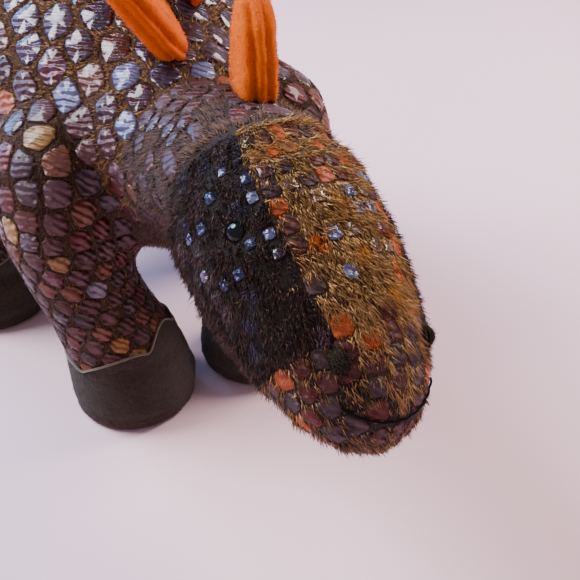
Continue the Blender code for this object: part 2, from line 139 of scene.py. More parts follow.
fillings = [name for name in nodes if name.endswith("filling")]
skin = bmesh.new()
skin.from_mesh(regrown(cad_copy(fillings), "skin", GRID, COVER_OUT + HOLLOW, -HOLLOW, smooth=7))
for vert in skin.verts:
    if vert.co.z < FLOOR_SETTLE:
        drop = FOOT_GAP * (FLOOR_SETTLE - vert.co.z) / (FLOOR_SETTLE - FOOT_GAP)
        vert.co.z = max(vert.co.z - drop, 0.0)

# Where each limb's cover starts, the way it runs from there, and its length.  A limb is what lies past its
# start, so every border is a flat cut.
RIGHT_LEG_DOWN = Vector((-0.3, 0.0, -0.954))
LEFT_LEG_DOWN = Vector((0.3, 0.0, -0.954))
NECK_BEND = (pivots["neck_turn"] + Vector((0, -4.0, 0)) * MM, Vector((0, -1, 0)), 17.0 * MM)
HEAD_BEND = (pivots["head_nod"] + Vector((0, 9.1, -5.5)) * MM, Vector((0, -0.938, -0.347)), 18.0 * MM)
TAIL_BEND = (pivots["tail_sway"] + Vector((0, -4.0, 0)) * MM, Vector((0, 1, 0)), 20.0 * MM)
FORE_CROTCH = Vector((18.0, -46.0, 50.0)) * MM
HIND_CROTCH = Vector((25.0, 27.0, 50.0)) * MM
LEG_BEND = 24.0 * MM
BETWEEN_LEGS = -17.0 * MM  # the place along Y between the fore and the hind legs
mirrored = Vector((-1, 1, 1))
LIMBS = {
    "right_foreleg": (FORE_CROTCH * mirrored, RIGHT_LEG_DOWN, LEG_BEND, -1, -1),
    "left_foreleg": (FORE_CROTCH, LEFT_LEG_DOWN, LEG_BEND, 1, -1),
    "right_hindleg": (HIND_CROTCH * mirrored, RIGHT_LEG_DOWN, LEG_BEND, -1, 1),
    "left_hindleg": (HIND_CROTCH, LEFT_LEG_DOWN, LEG_BEND, 1, 1),
    "head": (*HEAD_BEND, 0, -1),
    "neck": (*NECK_BEND, 0, -1),
    "tail": (*TAIL_BEND, 0, 1),
}
BODIES = ("torso", *LIMBS)


def past(points, limb):
    """Which points lie past a limb's start; side and end are the quarter of the animal it is in."""
    start, way, _, side, end = LIMBS[limb]
    inside = (points - np.array(start)) @ np.array(way) > 0
    if side:
        inside &= points[:, 0] * side > 0
    if limb == "head":
        inside &= past(points, "neck")
    return inside & ((points[:, 1] - BETWEEN_LEGS) * end > 0)


def bodies_of(points):
    """The body that each point belongs to, as its place in BODIES."""
    found = np.zeros(len(points), int)
    for limb in reversed(LIMBS):
        found[past(points, limb)] = BODIES.index(limb)
    return found


def carry(piece, body):
    """A piece on the torso is parented to it; a piece of any other body only has its place baked into its mesh."""
    if body == "torso":
        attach(piece, "torso")
    else:
        start, way, length, *_ = LIMBS[body]
        tuple(start + way * length)
        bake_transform(piece)


for limb in LIMBS:
    start, way, _, side, end = LIMBS[limb]
    skin.faces.ensure_lookup_table()
    middles = np.array([face.calc_center_median() for face in skin.faces])
    near = np.abs((middles - np.array(start)) @ np.array(way)) < 3 * GRID
    if side:
        near &= middles[:, 0] * side > 0
    near &= (middles[:, 1] - BETWEEN_LEGS) * end > 0
    faces = [skin.faces[i] for i in np.flatnonzero(near)]
    edges = {edge for face in faces for edge in face.edges}
    verts = {vert for face in faces for vert in face.verts}
    bmesh.ops.bisect_plane(
        skin, geom=[*verts, *edges, *faces], dist=0.01 * MM, plane_co=start, plane_no=way,
    )
bmesh.ops.triangulate(skin, faces=[face for face in skin.faces if len(face.verts) > 4])
skin.verts.ensure_lookup_table()
skin_tree = BVHTree.FromBMesh(skin)

# The sewn panels, by the CAD's covers: each place on the skin belongs to the nearest.
ZONE_WORDS = {
    "head_top_gusset": "top", "face_panel": "face", "chin_panel": "chin", "neck_upper": "neck",
    "neck_throat": "throat", "back_gusset": "back", "flank": "flank", "belly": "belly",
    "tail_under": "tail_under", "tail_right": "tail", "tail_left": "tail", "leg_cover": "leg",
    "foot_cover": "foot", "sole": "foot",
}
covers = bmesh.new()
cover_zones = []
for name in sorted(nodes):
    zone = next((zone for word, zone in ZONE_WORDS.items() if word in name), None)
    if zone and not name.endswith(("filling", "spike_1", "spike_2")) and "plate" not in name:
        covers.from_mesh(nodes[name].data)
        cover_zones += [zone] * (len(covers.faces) - len(cover_zones))
cover_tree = BVHTree.FromBMesh(covers)
covers.free()
ZONES = (
    "top", "face", "chin", "neck", "throat", "back", "flank", "belly", "tail", "tail_under", "leg", "foot",
)


def zones_of(points):
    """The zone of the panel nearest to each point, as its place in ZONES."""
    nearest = [cover_tree.find_nearest(point)[2] for point in points.tolist()]
    return np.array([ZONES.index(cover_zones[face]) for face in nearest])


def in_zones(zones, *names):
    return np.isin(zones, [ZONES.index(name) for name in names])


class Shade:
    """One socket in a material; sums on it add Math nodes."""

    def __init__(self, tree, socket=None):
        self.tree = tree
        self.socket = socket

    def node(self, kind, settings=None, values=None, output=0):
        """Any node: its settings first, then the values or links of its sockets."""
        node = self.tree.nodes.new("ShaderNode" + kind)
        for name, value in (settings or {}).items():
            if name == "stops":
                ramp = node.color_ramp.elements
                while len(ramp) < len(value):
                    ramp.new(0.5)
                for element, (place, colour) in zip(ramp, value):
                    element.position = place
                    element.color = (*colour, 1.0)
            else:
                setattr(node, name, value)
        for name, value in (values or {}).items():
            if isinstance(value, Shade):
                self.tree.links.new(value.socket, node.inputs[name])
            else:
                node.inputs[name].default_value = value
        return Shade(self.tree, node.outputs[output])

    def maths(self, operation, *values):
        return self.node("Math", {"operation": operation}, dict(enumerate(values)))

    def __add__(self, other):
        return self.maths("ADD", self, other)

    def __sub__(self, other):
        return self.maths("SUBTRACT", self, other)

    def __rsub__(self, other):
        return self.maths("SUBTRACT", other, self)

    def __mul__(self, other):
        return self.maths("MULTIPLY", self, other)

    __radd__ = __add__
    __rmul__ = __mul__


def rgb(*colour):
    """A screen colour from 0 to 255 as the light it stands for."""
    return tuple(((c / 255 + 0.055) / 1.055) ** 2.4 if c > 10 else c / 255 / 12.92 for c in colour)


def material(name, **constants):
    """A Principled material with its constants set on its own sockets; the builder is returned with it."""
    made = bpy.data.materials.new(name)
    made.use_nodes = True
    shader = made.node_tree.nodes["Principled BSDF"]
    for socket, value in constants.items():
        value = (*value, 1.0) if isinstance(value, tuple) else value
        shader.inputs[socket.replace("_", " ")].default_value = value
    return made, Shade(made.node_tree), shader


def plain_material(name, colour, **constants):
    """For tufts, which take their variation from the other shades among them."""
    return material(name, Base_Color=rgb(*colour), **constants)[0]


def feed(shade, shader, **links):
    for socket, link in links.items():
        shade.tree.links.new(link.socket, shader.inputs[socket.replace("_", " ")])


def grain(shade, size, detail=3.0, roughness=0.55, stretch=(1, 1, 1)):
    """Noise in Object coordinates; size is one lump's width in millimetres."""
    place = shade.node("TexCoord", output="Object")
    if stretch != (1, 1, 1):
        place = shade.node("Mapping", None, {"Vector": place, "Scale": stretch})
    values = {"Vector": place, "Scale": 1000.0 / size, "Detail": detail, "Roughness": roughness}
    return shade.node("TexNoise", None, values)


def blended(shade, factor, first, second, how="MIX"):
    """Two colours mixed."""
    values = {0: factor}
    for index, colour in ((6, first), (7, second)):
        values[index] = colour if isinstance(colour, Shade) else (*colour, 1.0)
    return shade.node("Mix", {"data_type": "RGBA", "blend_type": how}, values, output=2)


def bumped(shade, height, distance, strength=1.0):
    return shade.node("Bump", None, {"Height": height, "Distance": distance * MM, "Strength": strength})


# The knitted ground of the pile shows dark between the tufts; each zone's dye is kept on the vertices.
GROUND = {
    "top": rgb(84, 60, 30), "face": rgb(40, 28, 27), "chin": rgb(66, 42, 28), "neck": rgb(54, 36, 28),
    "throat": rgb(52, 36, 30), "back": rgb(84, 58, 34), "flank": rgb(92, 62, 36), "belly": rgb(64, 44, 32),
    "tail": rgb(88, 58, 34), "tail_under": rgb(64, 44, 32), "leg": rgb(66, 44, 28), "foot": rgb(48, 38, 30),
}
ground, shade, shader = material("pile_ground", Sheen_Weight=0.1, Sheen_Roughness=0.5, Specular_IOR_Level=0.2)
dye = shade.node("Attribute", {"attribute_name": "dye"})
lumps = grain(shade, 2.4)
fibres = grain(shade, 0.45, detail=2.0, roughness=0.7)
dark = blended(shade, 1.0, dye, rgb(120, 112, 108), "MULTIPLY")
feed(
    shade, shader,
    Base_Color=blended(shade, (lumps * 0.6 + fibres * 0.5), dark, dye),
    Roughness=fibres * 0.2 + 0.75,
    Normal=bumped(shade, fibres + lumps * 0.6, 0.5),
)

def paint(mesh, name, colours):
    """Colours with alpha kept on a mesh's vertices."""
    layer = mesh.attributes.new(name, "FLOAT_COLOR", "POINT")
    layer.data.foreach_set("color", colours.astype(np.float32).ravel())


region = bodies_of(np.array([face.calc_center_median() for face in skin.faces]))
skins = {}
for index, body in enumerate(BODIES):
    part = skin.copy()
    part.faces.ensure_lookup_table()
    others = [part.faces[i] for i in np.flatnonzero(region != index)]
    bmesh.ops.delete(part, geom=others, context="FACES")
    mesh = mesh_of(part, f"{body}_skin")
    zone = zones_of(read_out(mesh.vertices, "co", 3))
    paint(mesh, "dye", np.array([(*GROUND[name], 1.0) for name in ZONES])[zone])
    piece = add_piece(f"{body}_skin", mesh, ground)
    carry(piece, body)
    members = [
        name for name in frame["record"]["behaviour"]["bodies"][body]
        if name.endswith(("filling", "panel", "gusset", "_cover", "_sole"))
    ]
    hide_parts(*members)
    skins[body] = piece


# ---- Foil scales ------------------------------------------------------------------------------------------
# The pile cloth is printed with glossy foil in separate scales: rounded ones on body, neck and tail, and rows
# of smaller squarer ones on the legs and head.  Each one lies a little proud of the pile and is crinkled.

SCALE_SIDES = 14
SCALE_RINGS = ((0.97, -0.35), (1.0, 0.3), (0.84, 0.62))  # share of the outline, and height in millimetres
SCALE_TOP = 0.7  # height of the middle
chance = np.random.default_rng(7)

HEAD_DOWN = math.radians(35)
HEAD_TILT = math.radians(12)  # to its side
HEAD_STAND = (
    Matrix.Translation(pivots["head_nod"])
    @ Matrix((
        (1, 0, 0),
        (0, -math.cos(HEAD_DOWN), -math.sin(HEAD_DOWN)),
        (0, -math.sin(HEAD_DOWN), math.cos(HEAD_DOWN)),
    )).transposed().to_4x4()
    @ Matrix.Rotation(HEAD_TILT, 4, "Y")
)
head_turn = np.array(HEAD_STAND.to_3x3())
head_seat = np.array(HEAD_STAND.translation)


def drift(points, size, seed):
    """Smooth noise from -1 to 1, one value for each point; size is a lump's width in millimetres."""
    grid = points / (size * MM) + 31.7 * seed
    low = np.floor(grid)
    share = grid - low
    share = share * share * (3 - 2 * share)
    total = np.zeros(len(points))
    for corner in range(8):
        step = np.array([corner & 1, corner >> 1 & 1, corner >> 2])
        weight = np.prod(np.where(step, share, 1 - share), axis=1)
        cell = np.sin((low + step) @ np.array([127.1, 311.7, 74.7]) + seed) * 43758.5453
        total += weight * ((cell - np.floor(cell)) * 2 - 1)
    return total


def in_head_of(points):
    """Places as the head stands: to its left, forward and up."""
    return (points - head_seat) @ head_turn


def unit(vectors):
    return vectors / np.maximum(np.linalg.norm(vectors, axis=1, keepdims=True), 1e-9)


def scattered(mesh, per_mm2):
    """Random places all over a mesh, with the skin's direction there."""
    mesh.calc_loop_triangles()
    corners = read_out(mesh.loop_triangles, "vertices", 3, int)
    place = read_out(mesh.vertices, "co", 3)
    facing = read_out(mesh.vertices, "normal", 3)
    a, b, c = (place[corners[:, i]] for i in range(3))
    area = np.linalg.norm(np.cross(b - a, c - a), axis=1) / 2
    count = int(area.sum() / MM**2 * per_mm2)
    chosen = chance.choice(len(area), count, p=area / area.sum())
    one, two = chance.random(count), chance.random(count)
    over = one + two > 1
    one[over], two[over] = 1 - one[over], 1 - two[over]
    shares = np.stack([1 - one - two, one, two], axis=1)[:, :, None]
    return (place[corners[chosen]] * shares).sum(axis=1), unit((facing[corners[chosen]] * shares).sum(axis=1))


def lay_of(points, facing, zones):
    """Which way the pile is combed: to the nose on the head, and else rearward and down."""
    way = np.tile(np.array([0.0, 0.62, -0.78]), (len(points), 1))
    way[in_zones(zones, "top", "face", "chin")] = head_turn @ np.array([0.0, 1.0, 0.0])
    way[in_zones(zones, "tail", "tail_under", "back")] = (0.0, 0.93, -0.36)
    way[in_zones(zones, "leg", "foot")] = (0.0, 0.0, -1.0)
    return unit(way - facing * (way * facing).sum(axis=1, keepdims=True))


def tree_of(points):
    """A tree that finds the nearest of the points."""
    tree = KDTree(len(points))
    for i, point in enumerate(points):
        tree.insert(point, i)
    tree.balance()
    return tree


def spread_out(points, spacing):
    """Places kept at least CLOSEST of a spacing apart, then evened out among the rest."""
    cells = {}
    kept = []
    for i, point in enumerate(points):
        gap = spacing[i]
        cell = tuple((point // (max(SPACING.values()) * MM)).astype(int))
        near = (
            j
            for x in (-1, 0, 1) for y in (-1, 0, 1) for z in (-1, 0, 1)
            for j in cells.get((cell[0] + x, cell[1] + y, cell[2] + z), ())
        )
        if all(((points[j] - point) ** 2).sum() > (min(gap, spacing[j]) * CLOSEST) ** 2 for j in near):
            cells.setdefault(cell, []).append(i)
            kept.append(i)
    centres = points[kept]
    for _ in range(3):
        tree = tree_of(centres)
        owner = np.array([tree.find(point)[1] for point in points])
        sums = np.zeros_like(centres)
        np.add.at(sums, owner, points)
        counts = np.maximum(np.bincount(owner, minlength=len(centres)), 1)[:, None]
        centres = np.where(counts > 1, sums / counts, centres)
    return centres


def on_skin(points):
    """The nearest places on the skin and its directions there."""
    found = [skin_tree.find_nearest(point) for point in points.tolist()]
    return np.array([hit[0] for hit in found]), np.array([hit[1] for hit in found])


def rays_to_skin(origins, ways):
    """Where rays from inside first come out through the skin."""
    hits = [skin_tree.ray_cast(origin, way)[0] for origin, way in zip(origins, ways)]
    return np.array([hit for hit in hits if hit is not None])


# Body, neck and tail: scattered places, evened out, a spacing apart that shrinks towards the tail's tip
SPACING = {"back": 9.4, "flank": 10.0, "neck": 5.4, "tail": 7.8, "throat": 5.8, "leg": 8.2}
CLOSEST = 0.86
LEG_ROWS_TOP = 70.0 * MM
spots = np.concatenate([scattered(skins[body].data, 0.8)[0] for body in ("torso", "neck", "tail")])
zones = zones_of(spots)
keep = in_zones(zones, *SPACING) & (~in_zones(zones, "leg") | (spots[:, 2] > LEG_ROWS_TOP))
spots, zones = spots[keep], zones[keep]
spacing = np.array([SPACING.get(zone, 0) for zone in ZONES])[zones] * MM
tail_way = spots[:, 1] > pivots["tail_sway"].y
spacing[tail_way] *= np.clip(1.05 - (spots[tail_way, 1] - pivots["tail_sway"].y) / 0.24, 0.62, 1)
centres = spread_out(spots, spacing)
kinds = [np.zeros(len(centres), int)]
centre_sets = [centres]

# Legs: level rows round each leg, from the top of the foot cover up to where the leg joins the body
LEG_ROWS = 16
LEG_ROW = 5.3 * MM  # from one row up to the next
LEG_STEP = 6.8 * MM  # along a row
LEG_ROWS_FROM = 19.0 * MM  # height of the lowest row
LEG_ROUND = 19.0 * MM  # radius that a row's scales are counted on
for side in (-1, 1):
    for leg in ("fore", "hind"):
        hand = "right" if side < 0 else "left"
        low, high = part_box(f"{hand}_{leg}_foot_cover")
        foot = (low + high) / 2
        hip = pivots[f"{hand}_{leg}leg_swing"]
        origins, ways = [], []
        for row in range(LEG_ROWS):
            height = LEG_ROWS_FROM + row * LEG_ROW
            middle = foot.lerp(hip, height / hip.z)
            count = int(math.tau * LEG_ROUND / LEG_STEP)
            for step in range(count):
                turn = math.tau * (step + 0.5 * (row % 2) + chance.uniform(-0.1, 0.1)) / count
                origins.append(Vector((middle.x, middle.y, height + chance.uniform(-0.25, 0.25) * MM)))
                ways.append(Vector((math.cos(turn), math.sin(turn), 0)))
        hits = rays_to_skin(origins, ways)
        hits = hits[in_zones(zones_of(hits), "leg", "foot")]
        inner_low = (hits[:, 0] * side > 16 * MM) | (hits[:, 2] < 48 * MM)
        centre_sets.append(hits[inner_low & (hits[:, 2] < LEG_ROWS_TOP)])
        kinds.append(np.full(len(centre_sets[-1]), 1))

# Head: small patches in rings round it, from the neck to the nose
HEAD_ROWS = 16
HEAD_STEP = 4.9
origins, ways = [], []
for row in range(HEAD_ROWS):
    along = (1.0 + row * HEAD_STEP) * MM
    radius = (26.0 if row < 9 else 26.0 - (row - 8) * 2.2) * MM
    count = max(int(math.tau * radius / (HEAD_STEP * MM)), 8)
    for step in range(count):
        turn = math.tau * (step + chance.uniform(-0.12, 0.12)) / count
        origins.append(HEAD_STAND @ Vector((0, along + chance.uniform(-0.3, 0.3) * MM, 2 * MM)))
        ways.append(HEAD_STAND.to_3x3() @ Vector((math.sin(turn), 0, math.cos(turn))))
hits = rays_to_skin(origins, ways)
centre_sets.append(hits[bodies_of(hits) == BODIES.index("head")])
kinds.append(np.full(len(centre_sets[-1]), 2))

SOCK_COVERED = 17.0 * MM  # the height under which the socks cover the legs' skin
centres, facing = on_skin(np.concatenate(centre_sets))
kinds = np.concatenate(kinds)
zones = zones_of(centres)
in_head = in_head_of(centres)
bare = in_zones(zones, "foot") & (centres[:, 2] < SOCK_COVERED)
hidden = in_zones(zones, "neck") & (chance.random(len(kinds)) < 0.45)
hidden |= in_zones(zones, "throat") & (chance.random(len(kinds)) < 0.8)
EYE_CLEAR = 3.6 * MM
eye_seats = [(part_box(f"{hand}_eye")[0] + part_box(f"{hand}_eye")[1]) / 2 for hand in ("right", "left")]
for seat in eye_seats:
    hidden |= np.linalg.norm(centres - np.array(seat), axis=1) < EYE_CLEAR
keep = ~(bare | hidden)
all_centres = centres
rows = (centres, facing, kinds, zones, in_head)
centres, facing, kinds, zones, in_head = (row[keep] for row in rows)
lay = lay_of(centres, facing, zones)
cross = np.cross(facing, lay)

# A scale reaches half way to each neighbour, less half the gap of bare pile; high powers keep corners sharp
GAP = 0.5 * MM
REACH = np.array([8.0, 5.0, 3.2]) * MM
SHARPNESS = np.array([6.5, 12.0, 16.0])
tree = tree_of(all_centres)
turns = np.arange(SCALE_SIDES) / SCALE_SIDES * math.tau
rays = np.stack([np.cos(turns), np.sin(turns)])
outlines = np.zeros((len(centres), SCALE_SIDES))
for i, centre in enumerate(centres):
    power = SHARPNESS[kinds[i]]
    near = [all_centres[j] for _, j, distance in tree.find_n(centre, 9) if distance > 0.5 * MM]
    apart = np.array(near) - centre
    flat = np.stack([apart @ lay[i], apart @ cross[i]], axis=1)
    length = np.linalg.norm(flat, axis=1)
    half = np.maximum(length / 2 - GAP / 2, 0.6 * MM)
    facing_ray = np.maximum((flat / length[:, None]) @ rays, 1e-3)
    limits = np.concatenate([half[:, None] / facing_ray, np.full((1, SCALE_SIDES), REACH[kinds[i]])])
    outlines[i] = (limits**-power).sum(axis=0) ** (-1 / power)
outlines *= chance.uniform(0.93, 1.03, (len(centres), 1))


def drawn(shares, draw):
    """The place, in a list of shares, that a draw from 0 to 1 falls in."""
    shares = np.array(shares, float)
    return np.searchsorted(np.cumsum(shares / shares.sum()), draw)


# Tints: maroon, purple-brown, mauve, copper, orange, lilac, blue, red and gold foil, and each zone's shares
FOILS = np.array([
    rgb(92, 44, 38), rgb(78, 52, 58), rgb(104, 66, 70), rgb(136, 76, 48), rgb(206, 98, 26),
    rgb(138, 136, 170), rgb(50, 56, 92), rgb(108, 34, 28), rgb(168, 122, 60),
])
FOIL_SHARES = {
    "flank": (32, 22, 16, 12, 2, 9, 0, 8, 2), "back": (30, 24, 14, 12, 2, 11, 0, 8, 2),
    "tail": (34, 24, 14, 14, 2, 5, 0, 8, 3), "neck": (44, 22, 10, 10, 1, 1, 2, 8, 2),
    "throat": (26, 34, 22, 8, 0, 2, 4, 4, 2), "leg": (36, 24, 12, 10, 2, 3, 0, 14, 3),
    "foot": (36, 24, 12, 10, 2, 3, 0, 14, 3), "top": (4, 2, 8, 20, 24, 30, 0, 4, 40),
    "face": (4, 8, 8, 0, 0, 10, 60, 0, 0), "chin": (30, 20, 6, 12, 2, 2, 0, 22, 6),
}
draws = chance.random(len(centres))
tints = np.zeros((len(centres), 3))
for i, zone in enumerate(zones):
    tints[i] = FOILS[drawn(FOIL_SHARES.get(ZONES[zone], FOIL_SHARES["flank"]), draws[i])]
tints *= chance.uniform(0.75, 1.2, (len(centres), 1))
tints[kinds == 1] *= (0.80, 0.66, 0.52)

# On the head most patches are only printed on the pile's tips, and `printed` holds each one's shade, as its
# place in PRINT_TINTS.  Along the seams, on the nape and muzzle they lie flat and matte in the pile, and foil
# lies whole near the eyes, along the seams behind them and on the brow.
NAPE_END, CHIN_FUR_END, CHEEK_END, MUZZLE_START = 17, 46, 50, 53  # millimetres along the head
SEAM_ROUND = 30  # degrees from the crown to the gusset's seam
SEAM_WIDE = 9
PRINT_TINTS = np.array([
    rgb(90, 60, 40), rgb(86, 36, 30), rgb(70, 45, 46), rgb(206, 92, 26), rgb(150, 96, 38), rgb(100, 30, 22),
    rgb(40, 38, 54),
])
along = in_head[:, 1] / MM
round_head = np.degrees(np.arctan2(in_head[:, 0], in_head[:, 2]))
by_seam = np.abs(np.abs(round_head) - SEAM_ROUND) < SEAM_WIDE
near_eye = np.min([np.linalg.norm(centres - np.array(seat), axis=1) for seat in eye_seats], axis=0) / MM
on_head = kinds == 2
in_top, in_face, in_chin = (in_zones(zones, zone) for zone in ("top", "face", "chin"))
roll = chance.random(len(centres))
brow = on_head & in_top & (along > 20) & (along < 40) & (np.abs(round_head - 4) < 17) & (roll < 0.55)
seam_foil = on_head & in_top & (along < 16) & by_seam & (roll < 0.6)
eye_foil = on_head & in_face & (near_eye < 15) & (along < 34) & (roll < 0.62)
# Shares of no print, maroon, purple, orange, gold, red and navy; a patch takes the first row that holds it
cheek = (74, 2, 12, 0, 0, 0, 12)
PRINT_SHARES = (
    (in_face & (along < CHEEK_END), cheek),
    (in_chin & (along < CHIN_FUR_END), cheek),
    (in_chin, (12, 38, 24, 4, 2, 20, 0)),
    (along > MUZZLE_START, (10, 34, 34, 4, 3, 15, 0)),
    (along < NAPE_END, (22, 26, 20, 18, 6, 8, 0)),
    (in_top & by_seam, (30, 22, 20, 16, 4, 8, 0)),
    (on_head, (72, 8, 4, 6, 8, 2, 0)),
)
printed = np.zeros(len(centres), int)
draws = chance.random(len(centres))
for i in np.flatnonzero(on_head):
    printed[i] = drawn(next(shares for place, shares in PRINT_SHARES if place[i]), draws[i])
matte = on_head & (printed > 0) & ((along > CHEEK_END) | (in_top & ((along < NAPE_END) | by_seam)))
matte &= ~(brow | seam_foil | eye_foil)
whole = ~on_head | brow | seam_foil | eye_foil | matte
tints[matte] = PRINT_TINTS[printed[matte]] * chance.uniform(0.8, 1.15, (matte.sum(), 1))

# Bright on the shoulders, back and brow, and rubbed dull low on the flanks, on the legs and muzzle.
# The glossier a scale, the more painted lilac reflection its colour takes.
DULL_BELOW = 84.0 * MM
gloss = np.clip((centres[:, 2] - DULL_BELOW) / (46 * MM), 0.16, 1.0)
gloss[kinds == 1] = 0.12
gloss[in_zones(zones, "neck", "throat")] *= 0.45
gloss[on_head] = 0.85
gloss[matte] = 0.06
gloss += chance.uniform(-0.12, 0.12, len(gloss)) + (chance.random(len(gloss)) < 0.06) * 0.35
gloss = np.clip(gloss, 0.05, 1)

# The coat's blue tint, heaviest on the glossy upper scales, stands in for the bluish lamp's reflection.
foil, shade, shader = material(
    "crinkled_foil", Coat_Roughness=0.1, Coat_Tint=(0.5, 0.7, 1.0), Specular_IOR_Level=0.4,
)
tint = shade.node("Attribute", {"attribute_name": "tint"})
bright = shade.node("Attribute", {"attribute_name": "tint"}, output="Alpha")
folds = shade.node("TexWave", {"bands_direction": "DIAGONAL"}, {
    "Vector": shade.node("TexCoord", output="Object"), "Scale": 190.0, "Distortion": 3.4, "Detail": 2.0,
    "Detail Scale": 1.2,
})
crinkle = grain(shade, 1.2, detail=4.0, roughness=0.6)
speckle = grain(shade, 1.6, detail=4.0)
# Speckled patches: a thicker coat, and on glossy scales a painted lilac reflection in the colour
mottle_and_glint = shade.node("ValToRGB", {"stops": ((0.45, (0, 0, 0)), (0.66, (1, 1, 1)))}, {0: speckle})
rubbed = blended(shade, crinkle * 0.7, tint, rgb(34, 20, 16))
feed(
    shade, shader,
    # The pale lilac mixed in by gloss, in speckled patches, is a painted reflection of the bluish lamps
    Base_Color=blended(shade, mottle_and_glint * bright * 0.16, rubbed, rgb(186, 176, 196)),
    Metallic=bright * 0.5 + 0.15,
    Roughness=0.5 - bright * 0.36 + crinkle * 0.24,
    Coat_Weight=bright * (mottle_and_glint * 0.4 + 0.6),
    Normal=bumped(shade, folds * 0.75 + crinkle * 0.3, 0.7),
)


def many(name, template, places, slots=None):
    """Copies of a small mesh under one name: `places` holds each copy's vertices."""
    count, corners = places.shape[:2]
    loops = np.array([vert for face in template for vert in face])
    sizes = np.array([len(face) for face in template])
    starts = np.concatenate([[0], np.cumsum(sizes)[:-1]])
    copies = np.arange(count)[:, None]
    mesh = bpy.data.meshes.new(name)
    mesh.vertices.add(count * corners)
    mesh.vertices.foreach_set("co", places.astype(np.float32).ravel())
    mesh.loops.add(count * len(loops))
    mesh.loops.foreach_set("vertex_index", (copies * corners + loops).ravel().astype(np.int32))
    mesh.polygons.add(count * len(sizes))
    mesh.polygons.foreach_set("loop_start", (copies * len(loops) + starts).ravel().astype(np.int32))
    if slots is not None:
        mesh.polygons.foreach_set("material_index", np.repeat(slots, len(sizes)).astype(np.int32))
    mesh.update(calc_edges=True)
    mesh.shade_smooth()
    return mesh


def template_of(bm):
    """A pattern mesh's faces, as lists of vertex numbers, and its vertices."""
    bmesh.ops.recalc_face_normals(bm, faces=bm.faces)
    bm.verts.index_update()
    faces = [[vert.index for vert in face.verts] for face in bm.faces]
    verts = np.array([vert.co for vert in bm.verts])
    bm.free()
    return faces, verts


def corner_at(x, y):
    """The corner of an outline that lies towards each place."""
    return np.round(np.arctan2(y, x) / math.tau * SCALE_SIDES).astype(int) % SCALE_SIDES


# The pattern scale is a round cake of three rings and a middle, closed underneath
pattern = bmesh.new()
foot_ring, rim_ring, top_ring = (ring[0] for ring in SCALE_RINGS)
bmesh.ops.create_cone(
    pattern, cap_ends=True, segments=SCALE_SIDES, radius1=foot_ring, radius2=rim_ring, depth=1.0,
)
top = max(pattern.faces, key=lambda face: face.calc_center_median().z)
bmesh.ops.inset_individual(pattern, faces=[top], thickness=rim_ring - top_ring)
caps = [face for face in pattern.faces if len(face.verts) == SCALE_SIDES]
top = max(caps, key=lambda face: face.calc_center_median().z)
bmesh.ops.poke(pattern, faces=[top])
scale_faces, scale_verts = template_of(pattern)
radii = np.linalg.norm(scale_verts[:, :2], axis=1)
ring_of = np.where(scale_verts[:, 2] < 0, 0, np.where(radii < 0.1, 3, np.where(radii > 0.95, 1, 2)))
corner_of = corner_at(scale_verts[:, 0], scale_verts[:, 1])
shares = np.array([ring[0] for ring in SCALE_RINGS] + [0.0])
heights = np.array([ring[1] for ring in SCALE_RINGS] + [SCALE_TOP])
shrunk = np.where(eye_foil, 0.62, np.where(brow | seam_foil, 0.86, 1.0))
reach = outlines[:, corner_of] * shares[ring_of] * shrunk[:, None]
turn_of = turns[corner_of]
flat = (
    centres[:, None]
    + lay[:, None] * (reach * np.cos(turn_of))[:, :, None]
    + cross[:, None] * (reach * np.sin(turn_of))[:, :, None]
)
landed, ways = on_skin(flat.reshape(-1, 3))
lift = np.tile(heights[ring_of], len(centres))
puff = np.tile(np.array([0.0, 0.1, 0.2, 0.2])[ring_of], len(centres))
relief = np.where(matte, 0.4, np.where(kinds == 0, 1.0, 0.8))
lift = (lift + puff * drift(landed, 3.4, 3)) * MM * np.repeat(relief, len(radii))
scale_places = (landed + ways * lift[:, None]).reshape(len(centres), -1, 3)
scale_body = bodies_of(centres)
for index, body in enumerate(BODIES):
    mine = (scale_body == index) & whole
    if not mine.any():
        continue
    mesh = many(f"{body}_scales", scale_faces, scale_places[mine])
    colours = np.concatenate([tints[mine], gloss[mine, None]], axis=1)
    paint(mesh, "tint", np.repeat(colours, len(radii), axis=0))
    carry(add_piece(f"{body}_scales", mesh, foil), body)


# ---- Pile -------------------------------------------------------------------------------------------------
# Polyester pile stands in the gaps between the scales and grows long and shaggy on the head.  It is laid as
# small tufts, combed one way with strays, in a few dyed shades that drift over the cloth.

PILE_COLOURS = {
    "olive_light": (214, 170, 108), "olive": (172, 134, 82), "olive_dark": (114, 85, 50),
    "umber": (88, 59, 45), "black_brown": (50, 35, 32), "mauve": (118, 84, 70),
    "golden": (196, 144, 76), "rust": (150, 82, 40), "print_maroon": (116, 54, 46),
    "print_purple": (100, 70, 74), "print_orange": (236, 122, 38), "print_gold": (222, 156, 60),
    "print_red": (136, 46, 34), "print_navy": (66, 62, 84),
}
pile_stuffs = []
for name, colour in PILE_COLOURS.items():
    roughness, specular = (0.38, 0.4) if name.startswith("print") else (0.62, 0.2)
    pile_stuffs.append(plain_material(
        f"pile_{name}", colour, Roughness=roughness, Specular_IOR_Level=specular, Sheen_Weight=0.06,
        Sheen_Roughness=0.4,
    ))
